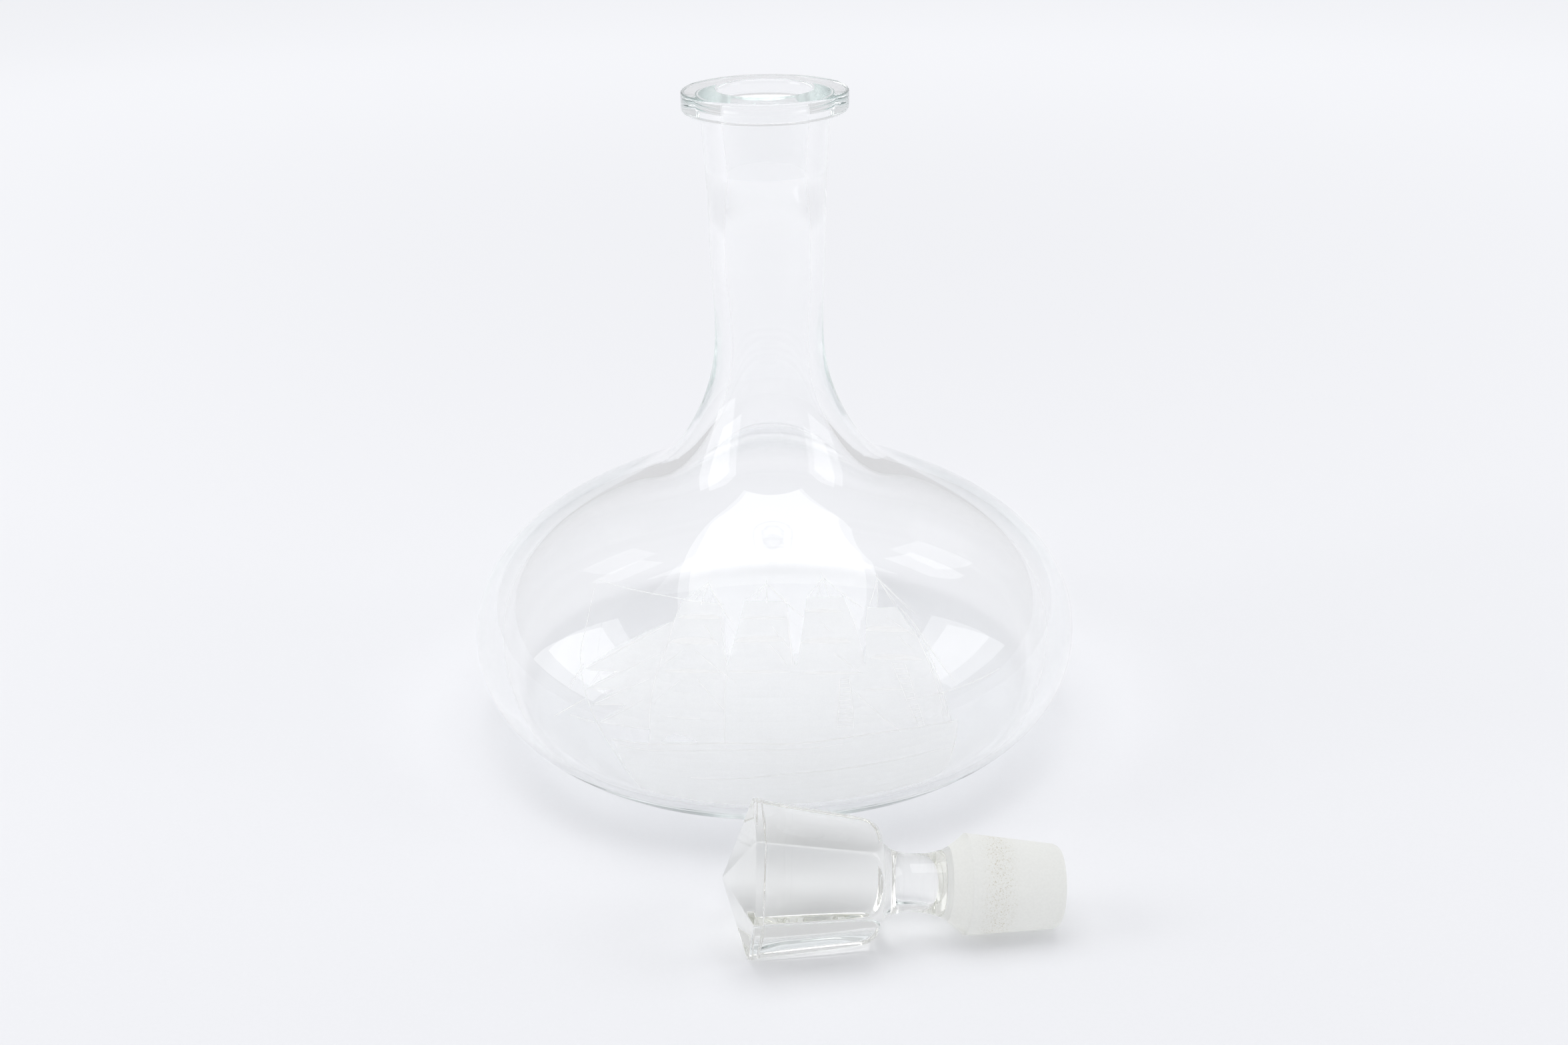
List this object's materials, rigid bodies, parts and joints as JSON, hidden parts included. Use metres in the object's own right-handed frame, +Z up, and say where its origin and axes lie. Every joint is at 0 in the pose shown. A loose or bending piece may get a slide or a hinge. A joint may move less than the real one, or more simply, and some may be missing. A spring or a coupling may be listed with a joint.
{
  "type": "ship's decanter",
  "caption": "Clear glass ship's decanter with a squat bowl, tall flanged neck, finely engraved sailing ship and a loose six-sided ground stopper lying beside it.",
  "frame": {"origin": "centre of the decanter's flat ground base, on the surface it stands on", "axes": "+Z up along the decanter's axis; the engraved front and the loose stopper face -Y"},
  "size_m": [0.2, 0.2552, 0.2113],
  "materials": {
    "clear_glass": "polished clear glass with a faint green tint where it is thick",
    "pressed_glass": "fire-polished pressed glass",
    "engraved_glass": "fine matte engraving",
    "ground_glass": "frosted ground taper"
  },
  "bodies": {
    "decanter": {"decanter_body": "clear_glass"},
    "stopper": {"stopper": "pressed_glass"}
  },
  "joints": [
    {"name": "stopper_lift", "type": "slide", "parent": "decanter", "child": "stopper", "axis": [0, 0, 1], "range_m": [0, 0.25]}
  ]
}
